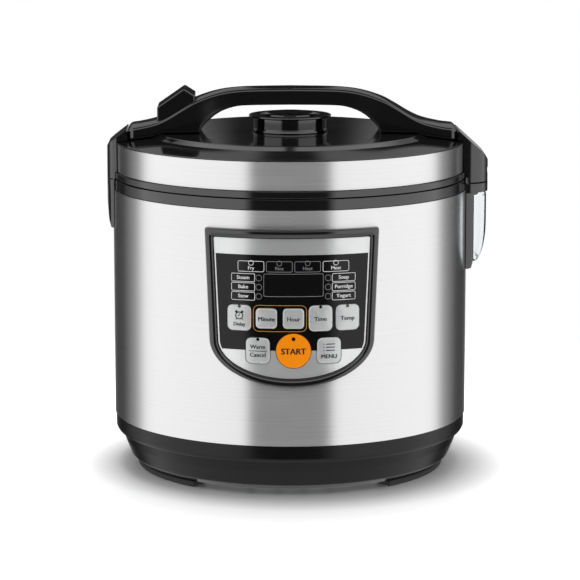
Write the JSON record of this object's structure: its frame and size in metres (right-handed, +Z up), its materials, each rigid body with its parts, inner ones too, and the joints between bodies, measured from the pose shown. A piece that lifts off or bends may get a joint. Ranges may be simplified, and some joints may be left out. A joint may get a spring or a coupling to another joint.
{
  "type": "yogurt maker",
  "caption": "Cylindrical electric yogurt maker with a steel-sleeved body, front control panel, inner pot, hinged lid with arch handle and latch, steam vent and drip cup.",
  "frame": {"origin": "middle of the footprint at the feet's undersides; the body's vertical axis stands 5.35 mm towards the latch side (-X) of it", "axes": "+Z up, -Y towards the control panel (front), -X towards the latch, +X towards the lid hinge"},
  "size_m": [0.2646, 0.2528, 0.2645],
  "materials": {
    "steel": "fine horizontal brushing",
    "black_gloss": "polished moulded plastic",
    "black_satin": "satin moulded plastic",
    "silver": "silver lacquered plastic",
    "orange": "orange moulded plastic",
    "clear": "clear moulded plastic",
    "smoked": "smoked clear plastic",
    "aluminium": "spun",
    "galvanised": "galvanised sheet",
    "coated": "dark non-stick coating",
    "silicone": "translucent silicone",
    "rubber": "matte rubber",
    "board": "solder-masked circuit board",
    "brass": "plated contact",
    "spring_steel": "bright drawn steel",
    "wire": "insulated wire",
    "liner": "pale moulded plastic"
  },
  "bodies": {
    "body": {"base_ring": "black_satin", "base_plate": "galvanised", "base_screw_1": "spring_steel", "base_screw_2": "spring_steel", "base_screw_3": "spring_steel", "base_screw_4": "spring_steel", "foot_front_left": "rubber", "foot_front_right": "rubber", "foot_rear_left": "rubber", "foot_rear_right": "rubber", "body_sleeve": "steel", "top_collar": "black_gloss", "inner_casing": "galvanised", "heating_plate": "aluminium", "sensor_housing": "galvanised", "sensor_spring": "spring_steel", "inner_pot": "coated", "power_board": "board", "power_inlet": "black_satin", "inlet_pin_live": "brass", "inlet_pin_neutral": "brass", "inlet_pin_earth": "brass", "panel_bezel": "black_gloss", "panel_face": "silver", "display_window": "smoked", "control_board": "board", "display_module": "smoked", "wire_loom": "wire", "hinge_bracket": "black_gloss", "hinge_pin": "spring_steel", "hinge_spring": "spring_steel", "cup_holder": "black_gloss", "latch_keeper": "black_gloss"},
    "sensor_plunger": {"sensor_cap": "aluminium"},
    "cup": {"drip_cup": "clear"},
    "lid": {"lid_rim": "black_gloss", "lid_band": "steel", "lid_cover": "black_gloss", "lid_liner": "liner", "inner_lid": "aluminium", "lid_gasket": "silicone", "vent_body": "black_gloss", "handle": "black_gloss", "handle_liner": "black_satin", "button_spring": "spring_steel", "latch_pin": "spring_steel", "latch_cover": "black_gloss", "hinge_cover": "black_gloss"},
    "vent_twist_cap": {"vent_cap": "black_gloss"},
    "vent_valve": {"vent_float": "silicone"},
    "release": {"release_button": "black_gloss"},
    "hook": {"latch_hook": "black_satin"},
    "key_reservation": {"button_reservation": "silver"},
    "key_minute": {"button_minute": "silver"},
    "key_hour": {"button_hour": "silver"},
    "key_time": {"button_time": "silver"},
    "key_temp": {"button_temp": "silver"},
    "key_warm_cancel": {"button_warm_cancel": "silver"},
    "key_menu": {"button_menu": "silver"},
    "key_start": {"button_start": "orange"}
  },
  "joints": [
    {"name": "lid_hinge", "type": "hinge", "parent": "body", "child": "lid", "pos_m": [0.12915, 0, 0.2045], "axis": [0, 1, 0], "range_deg": [0, 90]},
    {"name": "cup_slide", "type": "slide", "parent": "body", "child": "cup", "axis": [1, 0, 0], "range_m": [0, 0.04]},
    {"name": "sensor_travel", "type": "slide", "parent": "body", "child": "sensor_plunger", "axis": [0, 0, -1], "range_m": [0, 0.003], "deforming": ["sensor_spring"]},
    {"name": "vent_cap_twist", "type": "hinge", "parent": "lid", "child": "vent_twist_cap", "pos_m": [-0.00535, 0, 0.243], "axis": [0, 0, 1], "range_deg": [0, 45]},
    {"name": "vent_float_lift", "type": "slide", "parent": "lid", "child": "vent_valve", "axis": [0, 0, 1], "range_m": [0, 0.0025]},
    {"name": "release_press", "type": "slide", "parent": "lid", "child": "release", "axis": [0, 0, -1], "range_m": [0, 0.003], "deforming": ["button_spring"]},
    {"name": "hook_swing", "type": "hinge", "parent": "lid", "child": "hook", "pos_m": [-0.11955, 0, 0.216], "axis": [0, 1, 0], "range_deg": [0, 6.6]},
    {"name": "press_reservation", "type": "slide", "parent": "body", "child": "key_reservation", "axis": [0, 1, 0], "range_m": [0, 0.001]},
    {"name": "press_minute", "type": "slide", "parent": "body", "child": "key_minute", "axis": [0, 1, 0], "range_m": [0, 0.001]},
    {"name": "press_hour", "type": "slide", "parent": "body", "child": "key_hour", "axis": [0, 1, 0], "range_m": [0, 0.001]},
    {"name": "press_time", "type": "slide", "parent": "body", "child": "key_time", "axis": [0, 1, 0], "range_m": [0, 0.001]},
    {"name": "press_temp", "type": "slide", "parent": "body", "child": "key_temp", "axis": [0, 1, 0], "range_m": [0, 0.001]},
    {"name": "press_warm_cancel", "type": "slide", "parent": "body", "child": "key_warm_cancel", "axis": [0, 1, 0], "range_m": [0, 0.001]},
    {"name": "press_menu", "type": "slide", "parent": "body", "child": "key_menu", "axis": [0, 1, 0], "range_m": [0, 0.001]},
    {"name": "press_start", "type": "slide", "parent": "body", "child": "key_start", "axis": [0, 1, 0], "range_m": [0, 0.001]}
  ],
  "couplings": [
    {"joint": "hook_swing", "follows": "release_press", "rad_per_m": 38}
  ]
}
